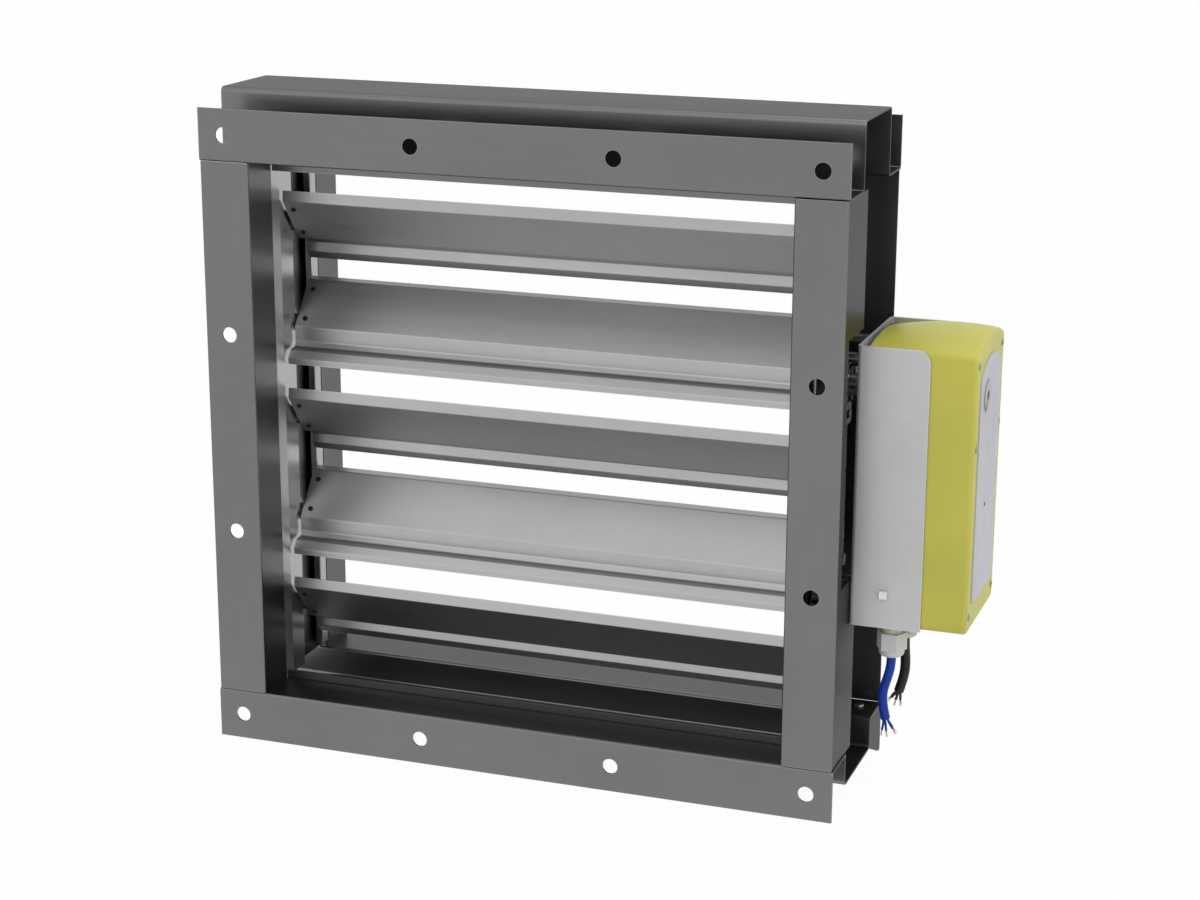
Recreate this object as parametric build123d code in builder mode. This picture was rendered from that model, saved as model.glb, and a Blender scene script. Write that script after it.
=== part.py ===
"""Square multi-blade fire damper with a spring return actuator, in millimetres.

The origin is the centre of the opening on the front flange face. X runs to the right, Y along the
airflow to the rear and Z up. Five opposed blades stand part open. Their levers and tie bars lie
outside the right channel, under the actuator bracket.
"""
import os
from math import cos, radians, sin, sqrt

from build123d import *

os.makedirs("parts", exist_ok=True)

# Frame
frame_width = 500.0
frame_height = 500.0
flange_width = 40.0
sheet = 1.5
bend_radius = 2.5
front_depth = 38.0
recess_depth = 78.0
rear_depth = 36.0
top_recess = 51.0
bottom_recess = 26.0
linkage_room = 30.0
flange_inset = 1.0
return_depth = 55.0
return_edge = 12.0
window_rise = 47.0
window_sill = 34.0
bolt_hole = 12.0
bolt_edge = 20.0
bolt_inner = 78.0

# Blades
blade_count = 5
blade_margin = 31.5
blade_centre = -3.0
blade_sheet = 1.2
blade_bend = 2.0
blade_end_gap = 2.5
opening_angle = 38.0
axle_diameter = 12.0
panel_offset = axle_diameter / 2 + blade_sheet + 0.3
panel_margin = 5.45
edge_room = 35.7
lip_length = 8.0
rib_length = 11.4
rib_flat = 5.0
shelf_length = 7.2
edge_flat = 8.0
edge_lip = 4.6
rivet_edge = 6.5
rivet_low = -1.0
rivet_inset = 6.5
rivet_diameter = 2.4
rivet_bore = 1.9
foot_margin = 2.4
foot_start = -6.0
foot_width = 16.0
foot_sheet = 2.0
web_rise = 22.0
web_reach = 7.0
web_drop = 8.0

# Linkage
bush_flange = 22.0
bush_body = 16.0
bush_bore_gap = 0.05
lever_radius = (recess_depth - 38.0) / 2
lever_thickness = 3.0
lever_gap = 2.5
pin_diameter = 6.0
pin_gap = 0.1
bar_width = 10.0
bar_thickness = 2.0
slot_gap = 0.2
spindle_drop = 11.7

# Actuator
bracket_sheet = 2.0
bracket_depth = 103.0
bracket_reach = 53.0
bracket_rise = 38.0
bracket_height = 209.0
base_thickness = 4.0
cover_depth = 80.0
cover_wall = 2.5
gearbox_width = 72.0
gearbox_height = 84.0
gearbox_depth = 60.0
gearbox_drop = 18.0
motor_diameter = 48.0
motor_length = 38.0
motor_drop = 103.0
pin_square = 6.5
pin_reach = 25.5
pin_rise = 26.5
gland_reach = 22.0
front_gland = 22.0
rear_gland = 67.0
gland_neck = 9.0
gland_nut_height = 19.0
blue_diameter = 6.0
black_diameter = 7.0

half_width = frame_width / 2
half_height = frame_height / 2
opening_x = half_width - flange_width
opening_z = half_height - flange_width
recess_front = front_depth
recess_rear = front_depth + recess_depth
depth = recess_rear + rear_depth
wall_x = half_width - linkage_room
axle_y = front_depth + recess_depth / 2
lever_x = wall_x + lever_gap
bar_x = lever_x + lever_thickness + 0.4
side_edge = half_width - flange_inset
half_root = sqrt(0.5)
blade_pitch = (2 * opening_z - blade_margin) / blade_count
blade_half_length = opening_x - blade_end_gap
panel_top = blade_pitch / 2 - panel_margin
panel_height = blade_pitch - edge_room
foot_end = panel_top - foot_margin
rivet_high = foot_end - rivet_edge
bracket_front = front_depth


def axle_z(number):
    """Height of one blade's axle, counted from 1 at the top."""
    return blade_centre + blade_pitch * ((blade_count + 1) / 2 - number)


drive_z = axle_z(2) - spindle_drop
bracket_top = drive_z + bracket_rise
bracket_bottom = bracket_top - bracket_height
window_top = drive_z + window_rise
window_bottom = bracket_bottom + window_sill


def is_odd(number):
    """Odd blades open with their upper edge forward, even blades with it to the rear."""
    return number % 2 == 1


def blade_plane(number, x, angle=opening_angle):
    """Plane across the axle at x, turned with the blade; its second axis runs up the blade."""
    turn = radians(angle if is_odd(number) else -angle)
    return Plane(origin=(x, axle_y, axle_z(number)), x_dir=(0, cos(turn), sin(turn)), z_dir=(1, 0, 0))


def save(piece, name):
    """Label a finished piece and write it to its own file."""
    piece.part.label = name
    export_step(piece.part, f"parts/{name}.step")


def lever_angle(number):
    """Direction of a lever, in degrees from the rear towards the top."""
    swing = opening_angle - 45
    return 180 + swing if is_odd(number) else -swing


def pin_place(number):
    """Depth and height of a lever's pin at the modelled opening."""
    turn = radians(lever_angle(number))
    return axle_y + lever_radius * cos(turn), axle_z(number) + lever_radius * sin(turn)


# Bolt hole positions along one flange, corners first
bolt_middle = half_width - bolt_edge
bolt_row = (-bolt_middle, -bolt_inner, bolt_inner, bolt_middle)

# Depth of each flange's joint face and the way into its sheet along -Y
flange_faces = ((0.0, -1), (depth, 1))


# Top and bottom channels, each folded from one sheet
def cross_channel(top):
    side = 1 if top else -1
    recess = top_recess if top else bottom_recess
    edge = half_height
    floor = opening_z + recess - sheet
    outline = [
        (0, edge),
        (0, opening_z),
        (recess_front + sheet, opening_z),
        (recess_front + sheet, floor),
        (recess_rear - sheet, floor),
        (recess_rear - sheet, opening_z),
        (depth, opening_z),
        (depth, edge),
    ]
    outline = [(y, side * z) for y, z in outline]
    with BuildPart() as channel:
        with BuildSketch(Plane.YZ.offset(-half_width)):
            with BuildLine():
                FilletPolyline(*outline, radius=bend_radius)
                offset(amount=sheet, side=Side.LEFT if top else Side.RIGHT)
            make_face()
        extrude(amount=frame_width)
        for face, way in flange_faces:
            with BuildSketch(Plane.XZ.offset(-face)):
                with Locations(*[(x, side * (half_height - bolt_edge)) for x in bolt_row]):
                    Circle(bolt_hole / 2)
            extrude(amount=way * 2 * sheet, mode=Mode.SUBTRACT)
    return channel


save(cross_channel(True), "top_channel")
save(cross_channel(False), "bottom_channel")


# Screw places that fix the actuator bracket to the right channel
bracket_rear = bracket_front + bracket_depth
fixing_rows = (recess_front + 9.0, recess_rear - 8.0)
fixing_heights = (bracket_bottom + 13.0, bracket_top - 11.0)
fixings = [(y, z) for y in fixing_rows for z in fixing_heights]


# Side channels between them; the right one has an outer return with a window
def side_channel(side):
    inner_wall = wall_x - sheet
    outline = [
        (side_edge, 0),
        (opening_x, 0),
        (opening_x, recess_front + sheet),
        (inner_wall, recess_front + sheet),
        (inner_wall, recess_rear - sheet),
        (opening_x, recess_rear - sheet),
        (opening_x, depth),
        (side_edge, depth),
    ]
    if side > 0:
        outline.insert(0, (side_edge, return_depth))
    outline = [(side * x, y) for x, y in outline]
    with BuildPart() as channel:
        with BuildSketch(Plane.XY.offset(-opening_z)):
            with BuildLine():
                FilletPolyline(*outline, radius=bend_radius)
                offset(amount=sheet, side=Side.RIGHT if side > 0 else Side.LEFT)
            make_face()
        extrude(amount=2 * opening_z)
        for face, way in flange_faces:
            with BuildSketch(Plane.XZ.offset(-face)):
                with Locations(*[(side * bolt_middle, z) for z in (-bolt_inner, bolt_inner)]):
                    Circle(bolt_hole / 2)
            extrude(amount=way * 2 * sheet, mode=Mode.SUBTRACT)
        with BuildSketch(Plane.YZ.offset(side * (wall_x - 2 * sheet))):
            with Locations(*[(axle_y, axle_z(n)) for n in range(1, blade_count + 1)]):
                Circle(bush_body / 2)
        extrude(amount=side * 3 * sheet, mode=Mode.SUBTRACT)
        if side > 0:
            with BuildSketch(Plane.YZ.offset(side_edge - 2 * sheet)):
                with Locations((return_edge, window_bottom)):
                    Rectangle(return_depth, window_top - window_bottom, align=(Align.MIN, Align.MIN))
            extrude(amount=3 * sheet, mode=Mode.SUBTRACT)
            with BuildSketch(Plane.YZ.offset(wall_x - 2 * sheet)):
                with Locations(*fixings):
                    Circle(2.5)
            extrude(amount=half_width - wall_x + 2 * sheet, mode=Mode.SUBTRACT)
    return channel


save(side_channel(-1), "left_channel")
save(side_channel(1), "right_channel")


# Gusset that closes the lower right end of the rear collar
def corner_gusset():
    web = opening_z + sheet
    with BuildPart() as gusset:
        with BuildSketch(Plane.YZ.offset(half_width - sheet)):
            Polygon(
                (recess_rear, -web - bend_radius),
                (recess_rear + bend_radius, -web),
                (depth - sheet - bend_radius, -web),
                (depth - sheet, -web - bend_radius),
                (depth - sheet, -half_height),
                (depth - 5.0, -half_height),
                (recess_rear, -opening_z - bottom_recess),
                align=None,
            )
        extrude(amount=sheet)
    return gusset


save(corner_gusset(), "corner_gusset")


# Round head rivet on the rear web beside the gusset
def corner_rivet():
    with BuildPart() as rivet:
        with BuildSketch(Plane.XY.offset(-opening_z)):
            with Locations((half_width - 14.0, depth - 16.0)):
                Circle(4)
        extrude(amount=2.0)
        fillet(rivet.faces().sort_by(Axis.Z)[-1].edges(), radius=1.2)
    return rivet


save(corner_rivet(), "corner_rivet")


# Stop strips behind the front webs, one at the top and one at the bottom
def stop_strip(top):
    side = 1 if top else -1
    recess = top_recess if top else bottom_recess
    lip = opening_z - 11.0 if top else opening_z - 6.0
    floor = opening_z + recess - sheet
    front = recess_front + sheet
    outline = [(front, lip), (front, floor), (front + 14.0, floor)]
    outline = [(y, side * z) for y, z in outline]
    with BuildPart() as strip:
        with BuildSketch(Plane.YZ.offset(-opening_x)):
            with BuildLine():
                FilletPolyline(*outline, radius=bend_radius)
                offset(amount=sheet, side=Side.RIGHT if top else Side.LEFT)
            make_face()
        extrude(amount=2 * opening_x)
    return strip


save(stop_strip(True), "top_stop")
save(stop_strip(False), "bottom_stop")


# Seal strips in each side recess: a wide leaf in front of the axles and a hooked one behind them
def side_seals(side):
    thin = 1.0
    edge = opening_x - 0.5
    base = wall_x - sheet - bend_radius
    front = recess_front + sheet
    rear = recess_rear - sheet
    leg = edge + 5.0
    hook = rear - 11.0
    rear_line = [(base, rear), (leg, rear), (leg, hook), (edge + thin, hook), (edge + thin, rear - 2.5)]
    leaf_end = axle_y - axle_diameter / 2 - 1.5
    front_line = [(base, front), (edge + 3.5, front), (edge, front + 10.0), (edge, leaf_end)]
    with BuildPart() as seals:
        for line, mirrored, gap in ((rear_line, side < 0, 7.0), (front_line, side > 0, 1.0)):
            with BuildSketch(Plane.XY.offset(-opening_z + gap)):
                with BuildLine():
                    Polyline(*[(side * x, y) for x, y in line])
                    offset(amount=thin, side=Side.RIGHT if mirrored else Side.LEFT)
                make_face()
            extrude(amount=2 * (opening_z - gap))
    return seals


save(side_seals(-1), "left_seals")
save(side_seals(1), "right_seals")


# Ribbed blades, folded from one sheet; the section runs from the top lip to the bottom lip
def blade_outline():
    points = [(-panel_offset + lip_length * half_root, panel_top + lip_length * half_root)]
    points.append((-panel_offset, panel_top))
    steps = [
        (0, -panel_height),
        (rib_length * half_root, -rib_length * half_root),
        (0, -rib_flat),
        (-shelf_length * half_root, -shelf_length * half_root),
        (0, -edge_flat),
        (edge_lip * half_root, -edge_lip * half_root),
    ]
    for across, up in steps:
        last = points[-1]
        points.append((last[0] + across, last[1] + up))
    return points


def blade(number):
    with BuildPart() as panel:
        with BuildSketch(blade_plane(number, -blade_half_length)):
            with BuildLine():
                FilletPolyline(*blade_outline(), radius=blade_bend)
                offset(amount=blade_sheet, side=Side.LEFT)
            make_face()
        extrude(amount=2 * blade_half_length)
        with BuildSketch(rivet_plane(number)):
            with Locations(*rivet_points()):
                Circle(rivet_diameter / 2)
        extrude(amount=blade_sheet, both=True, mode=Mode.SUBTRACT)
    return panel


def rivet_plane(number):
    """Plane on the front face of a blade's flat panel, facing forward, with X along the blade."""
    across = blade_plane(number, 0)
    origin = across.from_local_coords((-panel_offset, 0, 0))
    return Plane(origin=origin, x_dir=(1, 0, 0), z_dir=-across.x_dir)


def rivet_points():
    """Rivet centres on the panel, two near each end."""
    x = blade_half_length - rivet_inset
    return [(-x, rivet_high), (-x, rivet_low), (x, rivet_high), (x, rivet_low)]


# Hollow rivets with flat heads in front and wider tails behind the end brackets
def blade_rivets(number):
    face_plane = rivet_plane(number)
    grip = blade_sheet + foot_sheet
    with BuildPart() as rivets:
        with BuildSketch(face_plane.offset(0.8)):
            with Locations(*rivet_points()):
                Circle(rivet_diameter * 0.85)
        extrude(amount=-0.8)
        with BuildSketch(face_plane):
            with Locations(*rivet_points()):
                Circle(rivet_diameter / 2)
        extrude(amount=-grip)
        with BuildSketch(face_plane.offset(-grip)):
            with Locations(*rivet_points()):
                Circle(rivet_diameter * 0.8)
        extrude(amount=-1.0)
        with BuildSketch(face_plane.offset(0.8)):
            with Locations(*rivet_points()):
                Circle(rivet_bore / 2)
        extrude(amount=-0.8 - grip, mode=Mode.SUBTRACT)
    return rivets


# End brackets with stub axles, welded up as one piece for each end
def stub_axles(number):
    rear_face = blade_sheet - panel_offset
    tail = lever_x + lever_thickness
    web_corners = [
        (rear_face, foot_start),
        (rear_face, web_rise),
        (web_reach, web_reach - 1.0),
        (web_reach, 4.0 - web_drop),
        (1.0, -web_drop),
    ]
    with BuildPart() as axles:
        for side in (-1, 1):
            end = side * blade_half_length
            foot = side * (blade_half_length - foot_width)
            with BuildSketch(blade_plane(number, foot)):
                with Locations((rear_face, foot_start)):
                    Rectangle(foot_sheet, foot_end - foot_start, align=(Align.MIN, Align.MIN))
            extrude(amount=end - foot)
            with BuildSketch(blade_plane(number, end)):
                Polygon(*web_corners, align=None)
            extrude(amount=-side * foot_sheet)
            with BuildSketch(blade_plane(number, end)):
                Circle(axle_diameter / 2)
            extrude(amount=side * (tail - blade_half_length))
        with BuildSketch(rivet_plane(number)):
            with Locations(*rivet_points()):
                Circle(rivet_diameter / 2)
        extrude(amount=-10, mode=Mode.SUBTRACT)
    return axles


for number in range(1, blade_count + 1):
    save(blade(number), f"blade_{number}")
    save(blade_rivets(number), f"blade_rivets_{number}")
    save(stub_axles(number), f"stub_axles_{number}")


# Flanged bearing bushes pressed into both side channels
def bearing_bushes():
    places = [(axle_y, axle_z(n)) for n in range(1, blade_count + 1)]
    bore = axle_diameter / 2 + bush_bore_gap
    with BuildPart() as bushes:
        for side in (-1, 1):
            inner = side * (wall_x - sheet)
            with BuildSketch(Plane.YZ.offset(inner)):
                with Locations(*places):
                    Circle(bush_flange / 2)
            extrude(amount=-side * 2.0)
            with BuildSketch(Plane.YZ.offset(inner)):
                with Locations(*places):
                    Circle(bush_body / 2)
            extrude(amount=side * (sheet + lever_gap - 0.4))
            with BuildSketch(Plane.YZ.offset(inner - side * 2.0)):
                with Locations(*places):
                    Circle(bore)
            extrude(amount=side * 10.0, mode=Mode.SUBTRACT)
    return bushes


save(bearing_bushes(), "bearing_bushes")


# Levers on the right ends of the axles, each with its riveted pin
def lever(number):
    hub = 11.0
    eye = 7.0
    pin_y, pin_z = pin_place(number)
    middle = ((axle_y + pin_y) / 2, (axle_z(number) + pin_z) / 2)
    top_of_pin = bar_x + 0.5 + bar_thickness + 0.4
    with BuildPart() as arm:
        with BuildSketch(Plane.YZ.offset(lever_x)):
            with Locations((axle_y, axle_z(number))):
                Circle(hub)
            with Locations((pin_y, pin_z)):
                Circle(eye)
            with Locations(Location(middle, lever_angle(number))):
                Rectangle(lever_radius, 2 * eye)
            with Locations((axle_y, axle_z(number))):
                Circle(axle_diameter / 2, mode=Mode.SUBTRACT)
        extrude(amount=lever_thickness)
        with BuildSketch(Plane.YZ.offset(lever_x + lever_thickness)):
            with Locations((pin_y, pin_z)):
                Circle(pin_diameter / 2)
        extrude(amount=top_of_pin - lever_x - lever_thickness)
        with BuildSketch(Plane.YZ.offset(top_of_pin)):
            with Locations((pin_y, pin_z)):
                Circle(pin_diameter * 0.75)
        extrude(amount=1.2)
    return arm


for number in range(1, blade_count + 1):
    save(lever(number), f"lever_{number}")


# Tie bars that keep each set of levers parallel
def tie_bar(numbers, near_face):
    places = [pin_place(n) for n in numbers]
    bar_y = places[0][0]
    low = places[-1][1]
    high = places[0][1]
    with BuildPart() as bar:
        with BuildSketch(Plane.YZ.offset(near_face)):
            with Locations((bar_y, (low + high) / 2)):
                SlotCenterToCenter(high - low, bar_width, rotation=90)
            with Locations(*places):
                Circle(pin_diameter / 2 + pin_gap, mode=Mode.SUBTRACT)
        extrude(amount=bar_thickness)
    return bar


odd_bar_x = bar_x + 0.5
odd_numbers = [n for n in range(1, blade_count + 1) if is_odd(n)]
even_numbers = [n for n in range(1, blade_count + 1) if not is_odd(n)]
yoke_z = (axle_z(2) + axle_z(3)) / 2
save(tie_bar(odd_numbers, odd_bar_x), "odd_tie_bar")


# The even bar has a hole for the drive crank, and a pin that runs in the slotted arm
def even_bar():
    bar_y = pin_place(even_numbers[0])[0]
    arm_face = odd_bar_x + bar_thickness
    with BuildPart() as bar:
        add(tie_bar(even_numbers, bar_x).part)
        with BuildSketch(Plane.YZ.offset(bar_x)):
            with Locations((bar_y, pin_place(2)[1] - spindle_drop)):
                Circle(pin_diameter / 2 + pin_gap)
        extrude(amount=bar_thickness, mode=Mode.SUBTRACT)
        with BuildSketch(Plane.YZ.offset(bar_x + bar_thickness)):
            with Locations((bar_y, yoke_z)):
                Circle(pin_diameter / 2)
        extrude(amount=arm_face + bar_thickness + 0.6 - bar_x - bar_thickness)
    return bar


save(even_bar(), "even_tie_bar")


# Slotted arm riveted across the odd bar
def slotted_arm():
    odd_y = pin_place(1)[0]
    near = lever_radius * 2 * cos(radians(45))
    far = lever_radius * 2
    front_end = odd_y - bar_width / 2
    rear_end = odd_y + far + pin_diameter
    with BuildPart() as arm:
        with BuildSketch(Plane.YZ.offset(odd_bar_x + bar_thickness)):
            with Locations(((front_end + rear_end) / 2, yoke_z)):
                RectangleRounded(rear_end - front_end, 16.0, 3.0)
            with Locations((odd_y + (near + far) / 2, yoke_z)):
                SlotCenterToCenter(far - near + 1.0, pin_diameter + 2 * slot_gap, mode=Mode.SUBTRACT)
        extrude(amount=bar_thickness)
    return arm


save(slotted_arm(), "slotted_arm")


# Drive spindle below the second blade's axle, its crank on the even bar and its clamping sleeve
crank_x = odd_bar_x + 2 * bar_thickness + 1.1
axle_end = crank_x + lever_thickness
web_inner = side_edge
web_outer = side_edge + bracket_sheet
cover_x = web_outer + base_thickness
cover_reach = cover_x + cover_depth
spindle_end = cover_reach + 0.4


def drive_crank():
    """Crank beside the bars, with a pin that reaches inwards through the even bar."""
    pin_y, lever_pin_z = pin_place(2)
    pin_z = lever_pin_z - spindle_drop
    with BuildPart() as crank:
        with BuildSketch(Plane.YZ.offset(crank_x)):
            with Locations((axle_y, drive_z)):
                Circle(9.5)
            with Locations((pin_y, pin_z)):
                Circle(6.0)
            with Locations(Location(((axle_y + pin_y) / 2, (drive_z + pin_z) / 2), lever_angle(2))):
                Rectangle(lever_radius, 12.0)
            with Locations((axle_y, drive_z)):
                Circle(axle_diameter / 2, mode=Mode.SUBTRACT)
        extrude(amount=lever_thickness)
        with BuildSketch(Plane.YZ.offset(crank_x)):
            with Locations((pin_y, pin_z)):
                Circle(pin_diameter / 2)
        extrude(amount=bar_x - 0.1 - crank_x)
    return crank


def drive_spindle():
    with BuildPart() as spindle:
        with BuildSketch(Plane.YZ.offset(crank_x)):
            with Locations((axle_y, drive_z)):
                Circle(axle_diameter / 2)
        extrude(amount=spindle_end - crank_x)
        with BuildSketch(Plane.YZ.offset(spindle_end)):
            with Locations((axle_y, drive_z)):
                RegularPolygon(4.0, 6, major_radius=False)
        extrude(amount=-10.0, mode=Mode.SUBTRACT)
    return spindle


def coupling_sleeve():
    with BuildPart() as sleeve:
        with BuildSketch(Plane.YZ.offset(axle_end)):
            with Locations((axle_y, drive_z)):
                Circle(8.0)
                Circle(axle_diameter / 2, mode=Mode.SUBTRACT)
        extrude(amount=cover_x - axle_end - 1.0)
    return sleeve


def sleeve_screws():
    """Short screws that lock the sleeve, one above and one below it."""
    screw_diameter = 3.6
    with BuildPart() as screws:
        for way in (-1, 1):
            with BuildSketch(Plane.XY.offset(drive_z + way * 7.0)):
                with Locations((axle_end + 0.5 + screw_diameter / 2, axle_y)):
                    Circle(screw_diameter / 2)
            extrude(amount=way * 4.5)
        with BuildSketch(Plane.YZ.offset(axle_end)):
            with Locations((axle_y, drive_z)):
                Circle(8.0)
        extrude(amount=cover_x - axle_end, mode=Mode.SUBTRACT)
    return screws


save(drive_crank(), "drive_crank")
save(drive_spindle(), "drive_spindle")
save(coupling_sleeve(), "coupling_sleeve")
save(sleeve_screws(), "sleeve_screws")


# Folded bracket that carries the actuator
def actuator_bracket():
    with BuildPart() as bracket:
        with BuildSketch(Plane.XY.offset(bracket_bottom)):
            with BuildLine():
                FilletPolyline(
                    (web_inner + bracket_reach, bracket_front),
                    (web_inner, bracket_front),
                    (web_inner, bracket_rear),
                    (web_inner + bracket_reach, bracket_rear),
                    radius=3.0,
                )
                offset(amount=bracket_sheet, side=Side.RIGHT)
            make_face()
        extrude(amount=bracket_height)
        corners = bracket.edges().filter_by(Axis.Y).group_by(Axis.X)[-1]
        fillet(corners.group_by(Axis.Z)[-1], radius=10.0)
        with BuildSketch(Plane.YZ.offset(web_inner)):
            with Locations((axle_y, drive_z)):
                Circle(11.0)
            with Locations(*fixings):
                Circle(2.75)
        extrude(amount=bracket_sheet, mode=Mode.SUBTRACT)
        with BuildSketch(Plane.XZ.offset(-bracket_front)):
            with Locations((side_edge + pin_reach, bracket_bottom + pin_rise)):
                Rectangle(pin_square, pin_square)
        extrude(amount=-bracket_sheet, mode=Mode.SUBTRACT)
    return bracket


save(actuator_bracket(), "actuator_bracket")


# Spacers between the side channel and the bracket, and the screws through them
def bracket_spacers():
    with BuildPart() as spacers:
        for place in fixings:
            tight = place[0] < return_depth and place[1] < window_bottom
            reach = side_edge - (sheet if tight else 0)
            with BuildSketch(Plane.YZ.offset(wall_x)):
                with Locations(place):
                    Circle(4.0)
                    Circle(2.5, mode=Mode.SUBTRACT)
            extrude(amount=reach - wall_x)
    return spacers


def bracket_screws():
    with BuildPart() as screws:
        with BuildSketch(Plane.YZ.offset(wall_x - sheet)):
            with Locations(*fixings):
                Circle(2.5)
        extrude(amount=web_outer - wall_x + sheet)
        with BuildSketch(Plane.YZ.offset(web_outer)):
            with Locations(*fixings):
                Circle(4.2)
        extrude(amount=2.6)
        with BuildSketch(Plane.YZ.offset(wall_x - sheet)):
            with Locations(*fixings):
                RegularPolygon(3.6, 6, major_radius=False)
        extrude(amount=-2.4)
    return screws


save(bracket_spacers(), "bracket_spacers")
save(bracket_screws(), "bracket_screws")


# Actuator base plate inside the bracket
inner_front = bracket_front + bracket_sheet
inner_rear = bracket_rear - bracket_sheet


def actuator_base():
    with BuildPart() as base:
        with BuildSketch(Plane.YZ.offset(web_outer)):
            with Locations(((inner_front + inner_rear) / 2, (bracket_bottom + bracket_top) / 2 - 1.5)):
                RectangleRounded(inner_rear - inner_front - 3.0, bracket_height - 4.0, 5.0)
            with Locations((axle_y, drive_z)):
                Circle(9.0, mode=Mode.SUBTRACT)
            with Locations(*fixings):
                Circle(4.7, mode=Mode.SUBTRACT)
        extrude(amount=base_thickness)
    return base


save(actuator_base(), "actuator_base")


# Moulded cover with a domed top that swells behind the bracket and falls a little to the face
cover_tops = ((0.0, -5.0, 0.5), (34.0, -2.0, 7.5), (cover_depth, -3.0, 6.0))


def cover_shell():
    """Solid block with the cover's outer outline; each step is a depth, a shoulder and a crest."""
    with BuildPart() as block:
        for step, shoulder_rise, crest_rise in cover_tops:
            shoulder = bracket_top + shoulder_rise
            crest = bracket_top + crest_rise
            with BuildSketch(Plane.YZ.offset(cover_x + step)) as outline:
                with BuildLine():
                    Polyline(
                        (inner_rear, shoulder),
                        (inner_rear, bracket_bottom),
                        (inner_front, bracket_bottom),
                        (inner_front, shoulder),
                    )
                    ThreePointArc(
                        (inner_front, shoulder), ((inner_front + inner_rear) / 2, crest), (inner_rear, shoulder)
                    )
                make_face()
                fillet(outline.vertices().group_by(Axis.Y)[0], radius=6.0)
                fillet(outline.vertices().group_by(Axis.Y)[-1], radius=5.0)
        loft()
    return block.part


def actuator_cover():
    shoulder = bracket_top + cover_tops[0][1] - cover_wall
    crest = bracket_top + cover_tops[0][2] - cover_wall
    front = inner_front + cover_wall
    rear = inner_rear - cover_wall
    low = bracket_bottom + cover_wall
    with BuildPart() as cover:
        add(cover_shell())
        fillet(cover.faces().sort_by(Axis.X)[-1].edges(), radius=3.0)
        with BuildSketch(Plane.YZ.offset(cover_x)) as hollow:
            with BuildLine():
                Polyline((rear, shoulder), (rear, low), (front, low), (front, shoulder))
                ThreePointArc((front, shoulder), ((front + rear) / 2, crest), (rear, shoulder))
            make_face()
            fillet(hollow.vertices().group_by(Axis.Y)[0], radius=3.5)
            fillet(hollow.vertices().group_by(Axis.Y)[-1], radius=2.5)
        extrude(amount=cover_depth - cover_wall, mode=Mode.SUBTRACT)
        with BuildSketch(Plane.YZ.offset(cover_reach)):
            with Locations((axle_y, drive_z)):
                Circle(7.0)
            with Locations(*cover_screw_places):
                Circle(1.5)
        extrude(amount=-2 * cover_wall, mode=Mode.SUBTRACT)
        with BuildSketch(Plane.XY.offset(bracket_bottom)):
            with Locations(*[(gland_x, y) for y in gland_y]):
                Circle(8.0)
        extrude(amount=cover_wall, mode=Mode.SUBTRACT)
    return cover


screw_rows = (inner_front + 8.0, inner_rear - 8.0)
screw_heights = (bracket_bottom + 12.0, bracket_top - 10.5)
cover_screw_places = [(y, z) for y in screw_rows for z in screw_heights]
gland_x = cover_x + gland_reach
gland_y = (bracket_front + front_gland, bracket_front + rear_gland)
save(actuator_cover(), "actuator_cover")


# Screws that hold the cover, in posts that rise from the base plate
def cover_screws():
    with BuildPart() as screws:
        with BuildSketch(Plane.YZ.offset(cover_reach)):
            with Locations(*cover_screw_places):
                Circle(1.5)
        extrude(amount=-cover_wall)
        with BuildSketch(Plane.YZ.offset(cover_reach)):
            with Locations(*cover_screw_places):
                Circle(2.6)
        extrude(amount=0.8)
        with BuildSketch(Plane.YZ.offset(cover_reach + 0.8)):
            with Locations(*cover_screw_places):
                Rectangle(4.0, 0.6)
        extrude(amount=-0.5, mode=Mode.SUBTRACT)
    return screws


def cover_posts():
    with BuildPart() as posts:
        with BuildSketch(Plane.YZ.offset(cover_x)):
            with Locations(*cover_screw_places):
                Circle(3.0)
        extrude(amount=cover_reach - cover_wall - cover_x)
    return posts


save(cover_screws(), "cover_screws")
save(cover_posts(), "cover_posts")


# Blank grey panel on the outer face, with a round opening for the dial
panel_thickness = 0.8
dial_radius = 11.5


def face_panel():
    low = bracket_bottom + 20.0
    shoulder = bracket_top - 22.0
    crest = bracket_top - 10.0
    front = inner_front + 14.0
    rear = inner_rear - 12.0
    with BuildPart() as panel:
        with BuildSketch(Plane.YZ.offset(cover_reach)) as outline:
            with BuildLine():
                Polyline((rear, shoulder), (rear, low), (front, low), (front, shoulder))
                ThreePointArc((front, shoulder), ((front + rear) / 2, crest), (rear, shoulder))
            make_face()
            fillet(outline.vertices(), radius=5.0)
            with Locations((axle_y, drive_z)):
                Circle(dial_radius + 0.4, mode=Mode.SUBTRACT)
        extrude(amount=panel_thickness)
    return panel


save(face_panel(), "face_panel")


# Position dial on the end of the spindle, with a pointer ridge
def position_dial():
    with BuildPart() as dial:
        with BuildSketch(Plane.YZ.offset(spindle_end)):
            with Locations((axle_y, drive_z)):
                Circle(dial_radius)
                RegularPolygon(4.0, 6, major_radius=False, mode=Mode.SUBTRACT)
        extrude(amount=1.2)
        turned = blade_plane(2, 0).x_dir
        with BuildSketch(Plane(origin=(spindle_end + 1.2, axle_y, drive_z), x_dir=turned, z_dir=(1, 0, 0))):
            with Locations((0, -8.0)):
                Rectangle(2.4, 5.0)
        extrude(amount=0.8)
    return dial


save(position_dial(), "position_dial")


# Gearbox and motor inside the cover
middle_y = (inner_front + inner_rear) / 2


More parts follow.
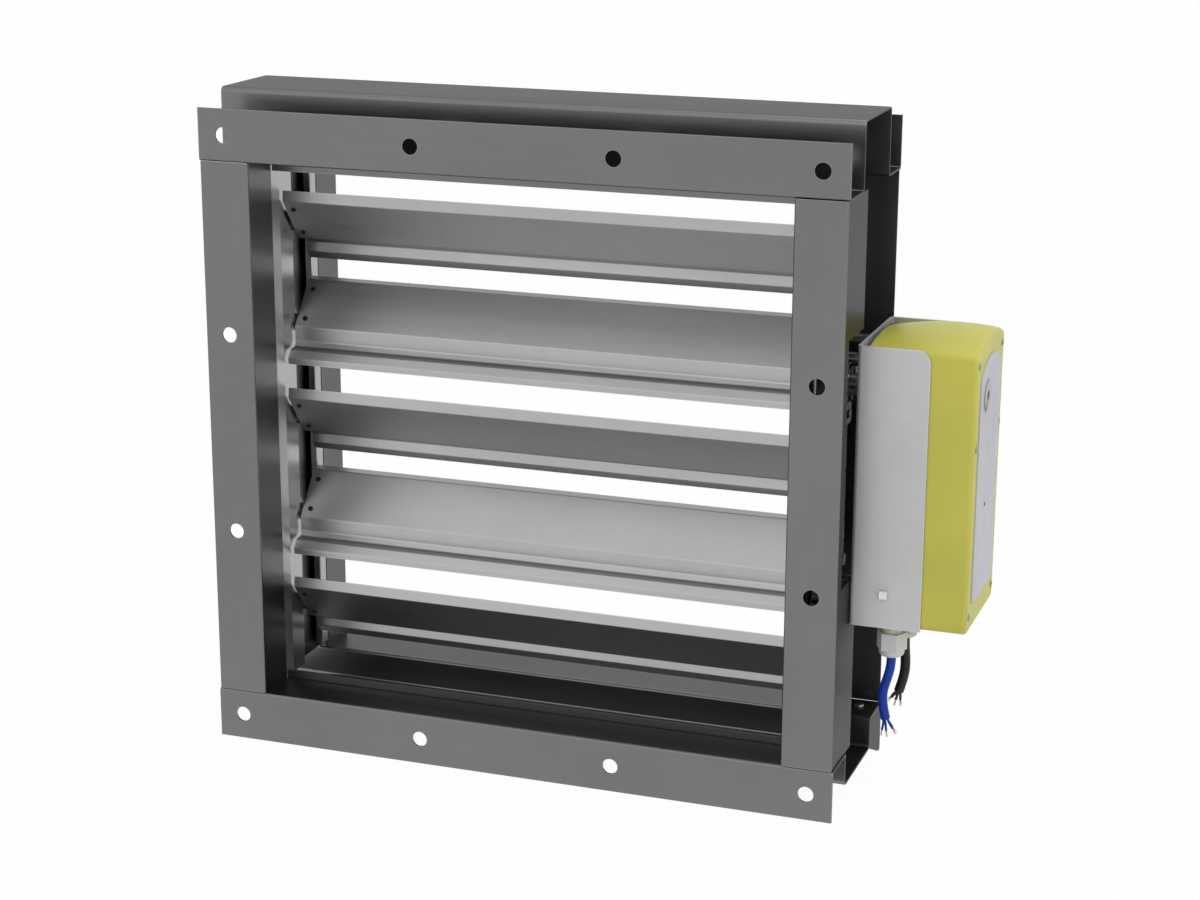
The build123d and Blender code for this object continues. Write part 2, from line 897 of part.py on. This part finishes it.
def gearbox():
    with BuildPart() as box:
        with BuildSketch(Plane.YZ.offset(cover_x)):
            with Locations((middle_y, drive_z - gearbox_drop)):
                RectangleRounded(gearbox_width, gearbox_height, 8.0)
        extrude(amount=gearbox_depth)
        with BuildSketch(Plane.YZ.offset(cover_x)):
            with Locations((axle_y, drive_z)):
                Circle(axle_diameter / 2 + bush_bore_gap)
        extrude(amount=gearbox_depth, mode=Mode.SUBTRACT)
    return box


def motor():
    with BuildPart() as drive_motor:
        with BuildSketch(Plane.YZ.offset(cover_x)):
            with Locations((middle_y, drive_z - motor_drop)):
                Circle(motor_diameter / 2)
        extrude(amount=motor_length)
        with BuildSketch(Plane.YZ.offset(cover_x + motor_length)):
            with Locations((middle_y, drive_z - motor_drop)):
                Circle(10.0)
        extrude(amount=6.0)
    return drive_motor


save(gearbox(), "gearbox")
save(motor(), "motor")


# Square pin that stands out of the bracket's front plate
def square_pin():
    with BuildPart() as pin:
        with BuildSketch(Plane.XZ.offset(-inner_front)):
            with Locations((side_edge + pin_reach, bracket_bottom + pin_rise)):
                Rectangle(pin_square, pin_square)
        extrude(amount=bracket_sheet + 5.5)
        chamfer(pin.faces().sort_by(Axis.Y)[0].edges(), length=0.6)
    return pin


save(square_pin(), "square_pin")


# Cable glands under the actuator
nut_top = bracket_bottom - gland_neck
nut_bottom = nut_top - gland_nut_height


def gland_bodies():
    places = [(gland_x, y) for y in gland_y]
    with BuildPart() as bodies:
        with BuildSketch(Plane.XY.offset(bracket_bottom + cover_wall)):
            with Locations(*places):
                Circle(8.0)
        extrude(amount=-cover_wall - gland_neck)
        with BuildSketch(Plane.XY.offset(bracket_bottom + cover_wall)):
            with Locations(*places):
                RegularPolygon(11.0, 6)
        extrude(amount=3.0)
    return bodies


def gland_nuts():
    places = [(gland_x, y) for y in gland_y]
    dome = 6.0
    with BuildPart() as nuts:
        with BuildSketch(Plane.XY.offset(nut_bottom)):
            with Locations(*places):
                Circle(9.4)
        extrude(amount=dome)
        fillet(nuts.edges().group_by(Axis.Z)[0], radius=3.5)
        with BuildSketch(Plane.XY.offset(nut_bottom + dome)):
            with Locations(*places):
                RegularPolygon(11.4, 6)
        extrude(amount=gland_nut_height - dome)
    return nuts


save(gland_bodies(), "gland_bodies")
save(gland_nuts(), "gland_nuts")


# Cables: straight runs joined by tangent arcs
def cable_radii(points):
    """Largest arc that the two runs at each corner allow."""
    radii = []
    for before, corner, after in zip(points, points[1:], points[2:]):
        run_in = Vector(*corner) - Vector(*before)
        run_out = Vector(*after) - Vector(*corner)
        turn = radians(run_in.get_angle(run_out))
        shorter = min(run_in.length, run_out.length)
        radii.append(0.45 * shorter / (sin(turn / 2) / cos(turn / 2)))
    return radii


def cable(points, diameter):
    radii = cable_radii(points)
    print("cable radii", [round(r, 1) for r in radii])
    with BuildPart() as tube:
        with BuildLine() as route:
            FilletPolyline(*points, radius=radii)
        with BuildSketch(Plane(origin=route.line @ 0, z_dir=route.line % 0)):
            Circle(diameter / 2)
        sweep()
        length = sum(edge.length for edge in route.edges())
        print("length", round(length, 1), "volume", round(tube.part.volume, 1))
    return tube


def cable_route(y, steps):
    """Points from the gland's lower face; each step is a shift in X and a drop."""
    return [(gland_x + shift, y, nut_bottom - drop) for shift, drop in steps]


blue_route = cable_route(
    gland_y[0], [(0, 0), (0, 8.0), (-2.2, 17.5), (-5.6, 29.0), (-5.4, 40.0), (-2.7, 50.6)]
)
black_route = cable_route(
    gland_y[1], [(0, 0), (0, 8.0), (2.6, 22.0), (2.0, 34.0), (-1.3, 45.3)]
)
save(cable(blue_route, blue_diameter), "blue_cable")
save(cable(black_route, black_diameter), "black_cable")


# Cores that splay from the end of each cable, and their bared copper ends
def core_directions(route, spread, count):
    """Unit directions of the cores about the cable's end."""
    along = (Vector(*route[-1]) - Vector(*route[-2])).normalized()
    aside = along.cross(Vector(0, 1, 0)).normalized()
    behind = along.cross(aside).normalized()
    found = []
    for index in range(count):
        turn = 360 / count * index + 20
        lean = aside * cos(radians(turn)) + behind * sin(radians(turn))
        found.append((lean, (along + lean * spread).normalized()))
    return found


def cores(route, diameter, spread, count, start, length, radius):
    end = Vector(*route[-1])
    along = (Vector(*route[-1]) - Vector(*route[-2])).normalized()
    with BuildPart() as group:
        for lean, direction in core_directions(route, spread, count):
            root = end + lean * diameter * 0.3 + direction * start
            with BuildSketch(Plane(origin=root, z_dir=direction)):
                Circle(radius)
            extrude(amount=length)
        cut = Plane(origin=end, z_dir=along)
        split(bisect_by=cut, keep=Keep.TOP)
    return group


save(cores(blue_route, blue_diameter, 0.38, 4, -1.0, 9.0, 0.85), "blue_cores")
save(cores(black_route, black_diameter, 0.34, 5, -1.0, 7.0, 0.95), "black_cores")


def copper_ends():
    with BuildPart() as ends:
        for route, diameter, spread, count, start in (
            (blue_route, blue_diameter, 0.38, 4, 8.0),
            (black_route, black_diameter, 0.34, 5, 6.0),
        ):
            end = Vector(*route[-1])
            for lean, direction in core_directions(route, spread, count):
                root = end + lean * diameter * 0.3 + direction * start
                with BuildSketch(Plane(origin=root, z_dir=direction)):
                    Circle(0.45)
                extrude(amount=4.5)
    return ends


save(copper_ends(), "copper_ends")
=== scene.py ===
import bmesh
import bpy
import math
from mathutils import Matrix, Vector

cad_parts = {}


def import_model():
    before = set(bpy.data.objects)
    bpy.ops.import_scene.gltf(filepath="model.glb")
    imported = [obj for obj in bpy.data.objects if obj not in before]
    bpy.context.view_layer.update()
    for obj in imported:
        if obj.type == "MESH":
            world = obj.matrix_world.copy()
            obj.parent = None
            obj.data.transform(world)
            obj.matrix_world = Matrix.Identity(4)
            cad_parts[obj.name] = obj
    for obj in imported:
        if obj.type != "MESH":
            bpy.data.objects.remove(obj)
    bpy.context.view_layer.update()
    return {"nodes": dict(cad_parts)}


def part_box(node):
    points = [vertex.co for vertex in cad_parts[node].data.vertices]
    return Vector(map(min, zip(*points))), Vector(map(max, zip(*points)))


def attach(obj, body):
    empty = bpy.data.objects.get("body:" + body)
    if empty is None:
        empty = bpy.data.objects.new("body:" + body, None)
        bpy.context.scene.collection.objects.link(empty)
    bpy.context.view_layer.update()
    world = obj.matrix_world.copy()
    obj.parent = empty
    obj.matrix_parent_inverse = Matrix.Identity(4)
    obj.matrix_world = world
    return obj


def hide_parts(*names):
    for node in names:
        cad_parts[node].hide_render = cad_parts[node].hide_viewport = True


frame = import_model()
nodes = frame["nodes"]
scene = bpy.context.scene
scene.view_settings.view_transform = "Standard"


# Materials

class Graph:
    """A material's node tree with short helpers for texture networks."""

    def __init__(self, name):
        self.mat = bpy.data.materials.new(name)
        self.mat.use_nodes = True
        self.tree = self.mat.node_tree
        self.bsdf = self.tree.nodes["Principled BSDF"]
        self.coord = self.add("ShaderNodeTexCoord").outputs["Object"]

    def add(self, kind, **settings):
        node = self.tree.nodes.new(kind)
        for key, value in settings.items():
            setattr(node, key, value)
        return node

    def link(self, a, b):
        self.tree.links.new(a, b)

    def stretched(self, scale):
        node = self.add("ShaderNodeMapping")
        node.inputs["Scale"].default_value = scale
        self.link(self.coord, node.inputs["Vector"])
        return node.outputs["Vector"]

    def noise(self, scale, detail=3.0, vector=None, rough=0.5):
        node = self.add("ShaderNodeTexNoise")
        node.inputs["Scale"].default_value = scale
        node.inputs["Detail"].default_value = detail
        node.inputs["Roughness"].default_value = rough
        self.link(vector or self.coord, node.inputs["Vector"])
        return node.outputs["Fac"]

    def cells(self, scale):
        node = self.add("ShaderNodeTexVoronoi")
        node.inputs["Scale"].default_value = scale
        self.link(self.coord, node.inputs["Vector"])
        split = self.add("ShaderNodeSeparateColor")
        self.link(node.outputs["Color"], split.inputs["Color"])
        return split.outputs[0]

    def span(self, value, low, high, from_low=0.3, from_high=0.7):
        node = self.add("ShaderNodeMapRange")
        node.inputs["From Min"].default_value = from_low
        node.inputs["From Max"].default_value = from_high
        node.inputs["To Min"].default_value = low
        node.inputs["To Max"].default_value = high
        self.link(value, node.inputs["Value"])
        return node.outputs["Result"]

    def mix(self, factor, a, b):
        node = self.add("ShaderNodeMix", data_type="RGBA")
        for name, value in (("Factor", factor), ("A", a), ("B", b)):
            socket = node.inputs[name]
            if isinstance(value, (int, float)):
                socket.default_value = value
            elif isinstance(value, tuple):
                socket.default_value = value + (1.0,)
            else:
                self.link(value, socket)
        return node.outputs["Result"]

    def edges(self, radius):
        """1 on edges, 0 on flats."""
        bevel = self.add("ShaderNodeBevel", samples=4)
        bevel.inputs["Radius"].default_value = radius
        flat = self.add("ShaderNodeNewGeometry")
        dot = self.add("ShaderNodeVectorMath", operation="DOT_PRODUCT")
        self.link(bevel.outputs["Normal"], dot.inputs[0])
        self.link(flat.outputs["Normal"], dot.inputs[1])
        return self.span(dot.outputs["Value"], 1.0, 0.0, 0.86, 0.995)

    def bump(self, height, strength, distance=0.0002):
        node = self.add("ShaderNodeBump")
        node.inputs["Strength"].default_value = strength
        node.inputs["Distance"].default_value = distance
        self.link(height, node.inputs["Height"])
        self.link(node.outputs["Normal"], self.bsdf.inputs["Normal"])

    def color(self, socket):
        self.link(socket, self.bsdf.inputs["Base Color"])

    def rough(self, socket):
        self.link(socket, self.bsdf.inputs["Roughness"])

    def plain(self, **values):
        for key, value in values.items():
            self.bsdf.inputs[key.replace("_", " ")].default_value = value


def gray(value, warm=0.0):
    return (value * (1 + warm), value, value * (1 - warm))


def sheet_metal(name, tone, rough, grain, metallic=1.0):
    """Galvanised sheet: faint spangle, fine rolling grain, and edges lightened, partly as
    edge wear and partly as a painted edge highlight.
    """
    g = Graph(name)
    rolled = g.stretched(grain)
    broad = g.span(g.noise(7.0, 2.0), 0.0, 1.0)
    base = g.mix(broad, gray(tone * 0.96), gray(tone * 1.04))
    spangle = g.mix(g.cells(95.0), gray(tone * 0.75), gray(tone * 1.25))
    base = g.mix(0.05, base, spangle)
    lines = g.span(g.noise(160.0, 3.0, rolled, 0.6), 0.0, 0.06, 0.35, 0.75)
    base = g.mix(lines, base, gray(tone * 1.4))
    # Lighter colour along the edges: partly edge wear, partly a painted highlight along the
    # sheet edges
    edge_wear_and_highlight = g.span(g.edges(0.0009), 0.0, 0.7, 0.0, 1.0)
    g.color(g.mix(edge_wear_and_highlight, base, gray(min(tone * 2.2, 0.9))))
    g.rough(g.span(g.noise(90.0, 4.0, rolled, 0.6), rough - 0.02, rough + 0.03))
    g.bump(g.noise(900.0, 2.0, rolled), 0.008)
    g.plain(Metallic=metallic, Specular_Tint=(0.4, 0.4, 0.4, 1.0))
    return g.mat


def machined(name, tone, rough=0.3, warm=0.0):
    """Plated or turned small steel and brass parts, copper strands too."""
    g = Graph(name)
    cloud = g.span(g.noise(60.0, 4.0), 0.0, 1.0)
    base = g.mix(cloud, gray(tone * 0.86, warm), gray(tone * 1.1, warm))
    # Lighter colour along the edges: partly edge wear, partly a painted highlight along the
    # edges
    edge_wear_and_highlight = g.span(g.edges(0.0005), 0.0, 0.7, 0.0, 1.0)
    g.color(g.mix(edge_wear_and_highlight, base, gray(min(tone * 1.6, 0.92), warm)))
    g.rough(g.span(g.noise(240.0, 3.0), rough - 0.06, rough + 0.08))
    g.bump(g.noise(900.0, 2.0), 0.06, 0.0001)
    g.plain(Metallic=1.0)
    return g.mat


def moulded(name, color, rough=0.42, grain=1500.0, worn=1.25, **extra):
    """Moulded plastic with a fine grain and lightened edges, partly edge wear and partly a
    painted edge highlight.
    """
    g = Graph(name)
    dark = tuple(c * 0.93 for c in color)
    light = tuple(min(c * 1.05, 1.0) for c in color)
    base = g.mix(g.span(g.noise(14.0, 3.0), 0.0, 1.0), dark, light)
    # Lighter edge colour: partly edge wear, partly a painted highlight along the edges
    edge = tuple(min(c * worn + 0.01, 1.0) for c in color)
    edge_wear_and_highlight = g.span(g.edges(0.0008), 0.0, 0.5, 0.0, 1.0)
    g.color(g.mix(edge_wear_and_highlight, base, edge))
    g.rough(g.span(g.noise(55.0, 4.0), rough - 0.05, rough + 0.06))
    g.bump(g.noise(grain, 2.0), 0.12, 0.0001)
    g.plain(**extra)
    return g.mat


def cable_plastic(name, color, rough=0.42, **extra):
    return moulded(name, color, rough, grain=900.0, **extra)


# Stretch of the rolling grain: along X on what lies across, along Z on what stands
across = (0.06, 1, 1)
upright = (1, 1, 0.06)

materials = {
    "frame_across": sheet_metal("frame_across", 0.185, 0.3, across),
    "frame_up": sheet_metal("frame_up", 0.185, 0.3, upright),
    "blade": sheet_metal("blade", 0.44, 0.34, (0.05, 1, 1)),
    "seal": sheet_metal("seal", 0.5, 0.3, upright),
    "bracket": sheet_metal("bracket", 0.50, 0.42, (1, 1, 0.08), metallic=0.55),
    "plated": machined("plated", 0.32),
    # A lighter copy of the plated steel: painted light, the lit look of the square pin's face
    "bright": machined("bright", 0.72),
    "rivet": machined("rivet", 0.06, 0.45),
    "brass": machined("brass", 0.22, 0.4, warm=0.12),
    "motor": machined("motor", 0.3, 0.4),
    "alloy": machined("alloy", 0.5, 0.45),
    "copper": machined("copper", 0.3, warm=0.6),
    "yellow": moulded(
        "yellow",
        (0.50, 0.475, 0.078),
        Subsurface_Weight=0.12,
        Subsurface_Scale=0.004,
        Specular_IOR_Level=0.35,
    ),
    # Black plastics get a stronger lighter edge colour: partly edge wear, partly a painted
    # highlight
    "black": moulded("black", (0.03, 0.03, 0.032), 0.45, worn=2.0),
    "panel": moulded("panel", (0.43, 0.42, 0.47), 0.38),
    "button": moulded("button", (0.12, 0.14, 0.22), 0.3),
    "dial": moulded("dial", (0.34, 0.345, 0.34), 0.35),
    "gland": moulded("gland", (0.55, 0.555, 0.55)),
    "blue_sheath": cable_plastic(
        "blue_sheath", (0.002, 0.035, 0.30), Specular_IOR_Level=0.25
    ),
    # Stronger lighter edge colour: partly edge wear, partly a painted highlight
    "black_sheath": cable_plastic(
        "black_sheath", (0.012, 0.012, 0.013), 0.45, worn=2.0, Specular_IOR_Level=0.3
    ),
    "core_blue": cable_plastic("core_blue", (0.003, 0.04, 0.30), Specular_IOR_Level=0.25),
    # Stronger lighter edge colour: partly edge wear, partly a painted highlight
    "core_black": cable_plastic("core_black", (0.02, 0.02, 0.022), worn=2.0),
}


def paint(key, *names):
    for name in names:
        slots = nodes[name].data.materials
        slots.clear()
        slots.append(materials[key])


def each_blade(kind):
    return [f"{kind}_{number}" for number in range(1, 6)]


paint("frame_across", "top_channel", "bottom_channel", "top_stop", "bottom_stop")
paint("frame_up", "left_channel", "right_channel", "corner_gusset")
paint("seal", "left_seals", "right_seals")
paint("blade", *each_blade("blade"))
paint("plated", *each_blade("stub_axles"), *each_blade("lever"))
paint("plated", "odd_tie_bar", "even_tie_bar", "slotted_arm", "drive_crank", "drive_spindle")
paint("plated", "coupling_sleeve", "sleeve_screws")
paint("plated", "bracket_spacers", "bracket_screws", "cover_screws", "corner_rivet")
# The square pin takes the lighter plated copy: painted light on its lit face
paint("bright", "square_pin")
paint("rivet", *each_blade("blade_rivets"))
paint("brass", "bearing_bushes")
paint("bracket", "actuator_bracket")
paint("yellow", "actuator_cover")
paint("black", "actuator_base", "cover_posts")
paint("panel", "face_panel")
paint("dial", "position_dial")
paint("alloy", "gearbox")
paint("motor", "motor")
paint("gland", "gland_bodies", "gland_nuts")
paint("blue_sheath", "blue_cable")
paint("black_sheath", "black_cable")
paint("core_blue", "blue_cores")
paint("core_black", "black_cores")
paint("copper", "copper_ends")


# Small fasteners on the actuator's face

def around(y, z, radius, turn):
    return y + radius * math.cos(turn), z + radius * math.sin(turn)


def full_circle(sides):
    return [math.tau * side / sides for side in range(sides)]


def prism(bm, outline, low, high):
    """Closed prism along X from an outline of (y, z) points."""
    bottom = [bm.verts.new((low, y, z)) for y, z in outline]
    top = [bm.verts.new((high, y, z)) for y, z in outline]
    bm.faces.new(bottom[::-1])
    bm.faces.new(top)
    for index, first in enumerate(bottom):
        after = (index + 1) % len(outline)
        bm.faces.new((first, bottom[after], top[after], top[index]))


def finished(name, bm, key, bevel=0.0):
    bmesh.ops.recalc_face_normals(bm, faces=bm.faces)
    mesh = bpy.data.meshes.new(name)
    bm.to_mesh(mesh)
    bm.free()
    mesh.materials.append(materials[key])
    obj = bpy.data.objects.new(name, mesh)
    scene.collection.objects.link(obj)
    if bevel:
        edges = obj.modifiers.new("edges", "BEVEL")
        edges.width = bevel
        edges.segments = 2
        edges.limit_method = "ANGLE"
    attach(obj, "frame")
    return obj


def slotted_screw(name, x, y, z):
    """Screw head with a straight slot, made of a disc and two halves that stand on it."""
    radius = 0.0026
    half_slot = 0.0003
    disc_top = x + 0.00032
    head_top = x + 0.0008
    steps = 16
    bm = bmesh.new()
    prism(bm, [around(y, z, radius, turn) for turn in full_circle(2 * steps)], x, disc_top)
    start = math.asin(half_slot / radius)
    for way in (1, -1):
        arc = [start + (math.pi - 2 * start) * step / steps for step in range(steps + 1)]
        prism(bm, [around(y, z, radius, way * turn) for turn in arc], disc_top, head_top)
    finished(name, bm, "plated", bevel=0.0001)


def button(name, x, y, z):
    """Low round dome."""
    radius = 0.0016
    height = 0.0006
    sides = 24
    rings = [(1.0, 0.0), (1.0, 0.35), (0.86, 0.72), (0.55, 0.94)]
    bm = bmesh.new()
    loops = []
    for wide, high in rings:
        ring = [around(y, z, radius * wide, turn) for turn in full_circle(sides)]
        loops.append([bm.verts.new((x + height * high, *place)) for place in ring])
    for lower, upper in zip(loops, loops[1:]):
        for index in range(sides):
            after = (index + 1) % sides
            bm.faces.new((lower[index], lower[after], upper[after], upper[index]))
    bm.faces.new(loops[0][::-1])
    bm.faces.new(loops[-1])
    dome = finished(name, bm, "button")
    for face in dome.data.polygons:
        face.use_smooth = True


cover_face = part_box("face_panel")[0][0]
panel_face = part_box("face_panel")[1][0]
middle_z = 0.0305
slotted_screw("front_middle_screw", cover_face, 0.048, middle_z)
slotted_screw("rear_middle_screw", cover_face, 0.131, middle_z)
button("panel_button", panel_face, 0.0857, -0.0206)


# Cables

def spline(name, points, radius, key, bevel):
    """Round cord along a quadratic spline, which starts and ends at the end points."""
    curve = bpy.data.curves.new(name, "CURVE")
    curve.dimensions = "3D"
    curve.bevel_depth = radius
    curve.bevel_resolution = bevel
    curve.use_fill_caps = True
    line = curve.splines.new("NURBS")
    line.points.add(len(points) - 1)
    for point, place in zip(line.points, points):
        point.co = (*place, 1.0)
    line.order_u = 3
    line.use_endpoint_u = True
    line.resolution_u = 16
    curve.materials.append(materials[key])
    obj = bpy.data.objects.new(name, curve)
    scene.collection.objects.link(obj)
    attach(obj, "frame")
    return obj


gland_x = 0.277
nut_bottom = -0.136

# Each route's steps are (shift along X, drop) from the gland nut, in millimetres
blue_y = 0.060
blue_diameter = 0.007
blue_steps = [(0, 0), (0, 8.0), (-2.2, 17.5), (-5.6, 29.0), (-5.4, 40.0), (-2.7, 50.6)]
black_y = 0.105
black_diameter = 0.0075
black_steps = [(0, 0), (0, 8.0), (1.4, 22.0), (0.2, 34.0), (-3.2, 45.0)]

core_spread = 0.3
bare_length = 0.0045
strand_radius = 0.00022
strand_offset = 0.00028
strand_fan = 0.0007
hidden_root = 0.001
hidden_strand = 0.0008


def cable_route(y, steps):
    return [(gland_x + shift / 1000, y, nut_bottom - drop / 1000) for shift, drop in steps]


def core_routes(route, diameter, count, length):
    """Each core leaves the cable's end, curls outwards and ends in bare strands."""
    end = Vector(route[-1])
    along = (end - Vector(route[-2])).normalized()
    aside = along.cross(Vector((0, 1, 0))).normalized()
    behind = along.cross(aside).normalized()

    def outwards(degrees):
        turn = math.radians(degrees)
        return aside * math.cos(turn) + behind * math.sin(turn)

    found = []
    for index in range(count):
        lean = outwards(360 / count * index + 20)
        way = (along + lean * core_spread).normalized()
        root = end + lean * diameter * 0.24 - along * hidden_root
        tip = root + way * length
        points = [
            root,
            root + along * length * 0.35 + lean * 0.0002,
            root + along * length * 0.62 + lean * length * core_spread * 0.5,
            tip,
        ]
        out = (tip - points[-2]).normalized()
        strands = []
        for twist in range(3):
            away = outwards(120 * twist + 30 * index)
            offset = tip + away * strand_offset
            strands.append(
                [
                    offset - out * hidden_strand,
                    offset + out * bare_length * 0.5,
                    offset + out * bare_length + away * strand_fan,
                ]
            )
        found.append((points, strands))
    return found


def cable(name, y, steps, diameter, core_key, core_count, core_radius, core_length):
    """Tube, its control points, and its loose ends: each core, then that core's strands."""
    route = cable_route(y, steps)
    tube = spline(f"{name}_cord", route, diameter / 2, f"{name}_sheath", bevel=8)
    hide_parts(f"{name}_cable")
    extras = []
    cores = core_routes(route, diameter, core_count, core_length)
    for number, (points, strands) in enumerate(cores):
        extras.append(spline(f"{name}_core_{number}", points, core_radius, core_key, bevel=3))
        for index, strand in enumerate(strands):
            label = f"{name}_strand_{number}_{index}"
            extras.append(spline(label, strand, strand_radius, "copper", bevel=2))
    return tube, route, extras


blue = cable("blue", blue_y, blue_steps, blue_diameter, "core_blue", 5, 0.0009, 0.0095)
black = cable("black", black_y, black_steps, black_diameter, "core_black", 6, 0.00095, 0.0075)
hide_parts("blue_cores")
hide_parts("black_cores")
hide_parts("copper_ends")


# Stage, light and camera

def background_rays(tree):
    """1 for the rays that show the white background: camera, glossy and transmission."""
    path = tree.nodes.new("ShaderNodeLightPath")
    seen = path.outputs["Is Camera Ray"]
    for ray in ("Is Glossy Ray", "Is Transmission Ray"):
        either = tree.nodes.new("ShaderNodeMath")
        either.operation = "MAXIMUM"
        tree.links.new(seen, either.inputs[0])
        tree.links.new(path.outputs[ray], either.inputs[1])
        seen = either.outputs["Value"]
    return seen


def stage_floor():
    size = 30.0
    height = -0.2503
    white_share = 0.97
    corners = [(-size, -size), (size, -size), (size, size), (-size, size)]
    mesh = bpy.data.meshes.new("floor")
    mesh.from_pydata([(x, y, height) for x, y in corners], [], [(0, 1, 2, 3)])
    floor = bpy.data.objects.new("floor", mesh)
    scene.collection.objects.link(floor)
    g = Graph("floor")
    tree = g.tree
    g.plain(Roughness=0.9)
    g.bsdf.inputs["Base Color"].default_value = (0.86, 0.86, 0.86, 1)
    shine = g.add("ShaderNodeEmission")
    shine.inputs["Color"].default_value = (1, 1, 1, 1)
    shine.inputs["Strength"].default_value = 1.0
    share = g.add("ShaderNodeMath", operation="MULTIPLY")
    share.inputs[1].default_value = white_share
    g.link(background_rays(tree), share.inputs[0])
    blend = g.add("ShaderNodeMixShader")
    g.link(share.outputs["Value"], blend.inputs["Fac"])
    g.link(g.bsdf.outputs["BSDF"], blend.inputs[1])
    g.link(shine.outputs["Emission"], blend.inputs[2])
    g.link(blend.outputs["Shader"], tree.nodes["Material Output"].inputs["Surface"])
    mesh.materials.append(g.mat)


def world():
    space = bpy.data.worlds.new("studio")
    space.use_nodes = True
    scene.world = space
    tree = space.node_tree
    light = tree.nodes["Background"]
    light.inputs["Color"].default_value = (0.78, 0.78, 0.78, 1)
    light.inputs["Strength"].default_value = 1.0
    white = tree.nodes.new("ShaderNodeBackground")
    white.inputs["Color"].default_value = (1, 1, 1, 1)
    blend = tree.nodes.new("ShaderNodeMixShader")
    tree.links.new(background_rays(tree), blend.inputs["Fac"])
    tree.links.new(light.outputs["Background"], blend.inputs[1])
    tree.links.new(white.outputs["Background"], blend.inputs[2])
    tree.links.new(blend.outputs["Shader"], tree.nodes["World Output"].inputs["Surface"])


def lamp(name, place, target, size, power):
    data = bpy.data.lights.new(name, "AREA")
    data.shape = "RECTANGLE"
    data.size, data.size_y = size
    data.energy = power
    obj = bpy.data.objects.new(name, data)
    obj.location = place
    way = Vector(target) - Vector(place)
    obj.rotation_euler = way.to_track_quat("-Z", "Y").to_euler()
    scene.collection.objects.link(obj)


def camera():
    place = (0.6480, -1.6284, 0.4998)
    lens = 74.03
    yaw, pitch, roll = (math.radians(angle) for angle in (19.57, 15.62, 0.24))
    ahead = Vector((-math.sin(yaw), math.cos(yaw), 0))
    forward = ahead * math.cos(pitch) - Vector((0, 0, math.sin(pitch)))
    right = Vector((math.cos(yaw), math.sin(yaw), 0))
    up = right.cross(forward)
    side = right * math.cos(roll) + up * math.sin(roll)
    top = up * math.cos(roll) - right * math.sin(roll)
    data = bpy.data.cameras.new("camera")
    data.lens = lens
    data.sensor_width = 36.0
    obj = bpy.data.objects.new("camera", data)
    turn = Matrix((side, top, -forward)).transposed()
    obj.matrix_world = Matrix.Translation(place) @ turn.to_4x4()
    scene.collection.objects.link(obj)
    scene.camera = obj


stage_floor()
world()
lamp("top", place=(0.6, 0.3, 2.2), target=(0.1, 0.05, 0), size=(1.4, 1.4), power=14.0)
lamp("left", place=(-2.0, -1.6, 0.9), target=(0, 0, 0), size=(1.2, 1.6), power=3.0)
lamp("right", place=(2.2, -1.2, 1.0), target=(0.2, 0, 0), size=(1.0, 1.6), power=8.0)
lamp("front", place=(0.2, -2.6, 1.9), target=(-0.3, -1.6, -0.2), size=(1.6, 1.0), power=7.0)
camera()
